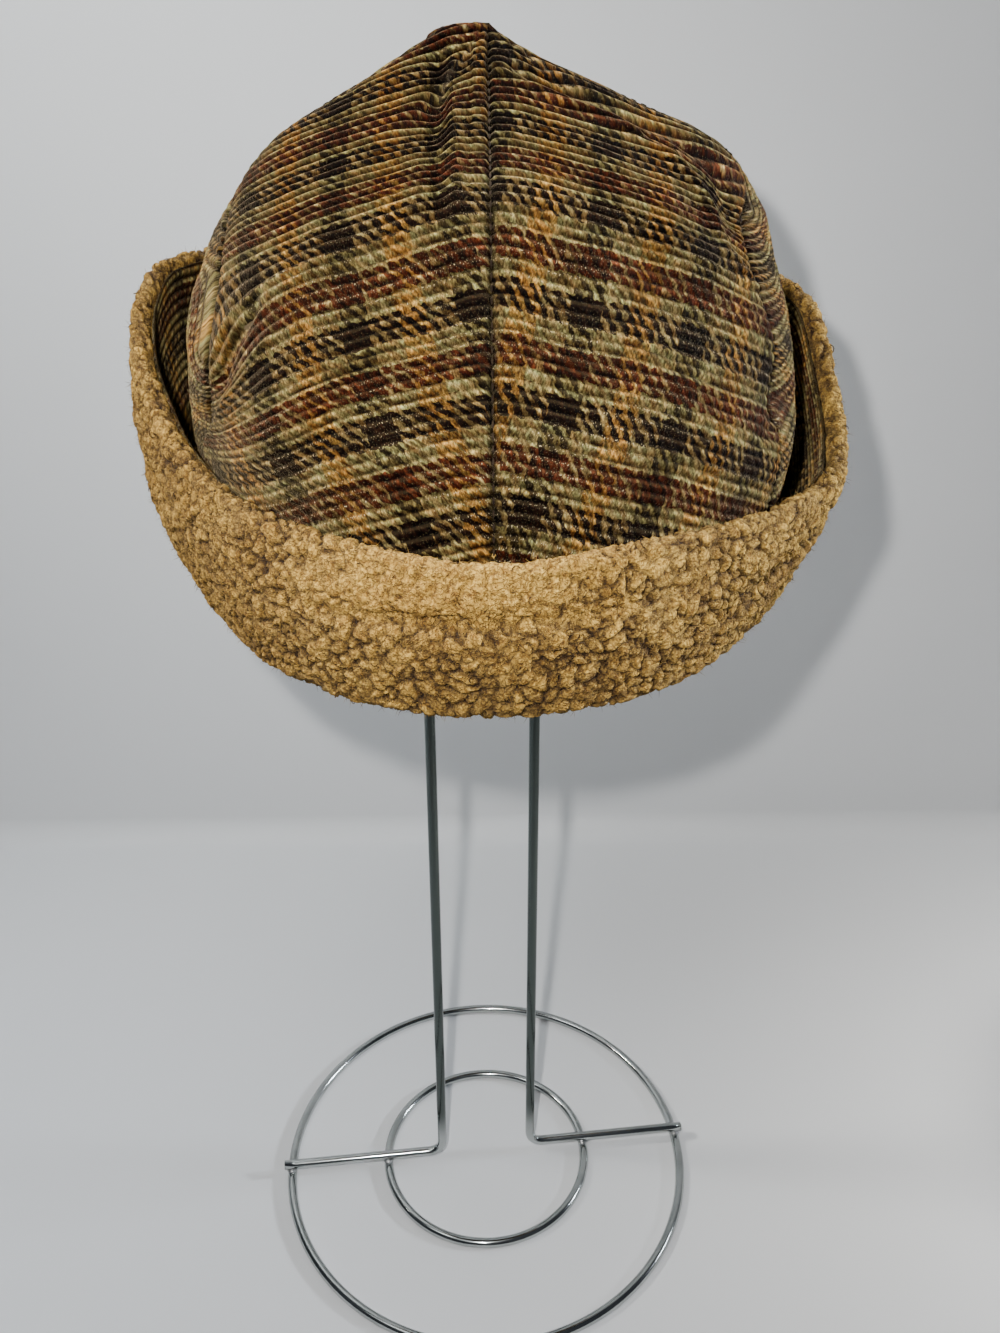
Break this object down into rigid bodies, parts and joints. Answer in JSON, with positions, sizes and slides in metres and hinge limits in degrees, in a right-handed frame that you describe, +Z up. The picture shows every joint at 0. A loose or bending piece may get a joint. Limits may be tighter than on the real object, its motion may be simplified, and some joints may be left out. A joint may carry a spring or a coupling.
{
  "type": "corduroy earflap cap on a wire hat stand",
  "caption": "Soft corduroy cap with a pointed crown, its flaps and front band turned up to show a deep fleece cuff, on a tall wire hat stand with a round base.",
  "frame": {"origin": "bottom centre of the whole object's bounding box, on the surface that the stand's rings lie on", "axes": "+Z up the stand to the cap's point; the cap's front faces -Y; +X is the right-hand side seen from the front"},
  "size_m": [0.2158, 0.2218, 0.4498],
  "materials": {
    "plaid_corduroy": "ribbed cotton corduroy with a woven plaid of sage, brown, rust and gold, matt with a faint thread sheen",
    "tan_fleece": "curly sherpa fleece, matt and woolly",
    "chrome_wire": "bright chrome plated steel wire, lightly smudged"
  },
  "bodies": {
    "root": {"base_ring_outer": "chrome_wire", "base_ring_inner": "chrome_wire", "stand_frame": "chrome_wire", "crown_panel_front_right": "plaid_corduroy", "crown_panel_back_right": "plaid_corduroy", "crown_panel_back_left": "plaid_corduroy", "crown_panel_front_left": "plaid_corduroy", "cuff_facing": "plaid_corduroy", "cuff_fleece": "tan_fleece"}
  },
  "joints": []
}
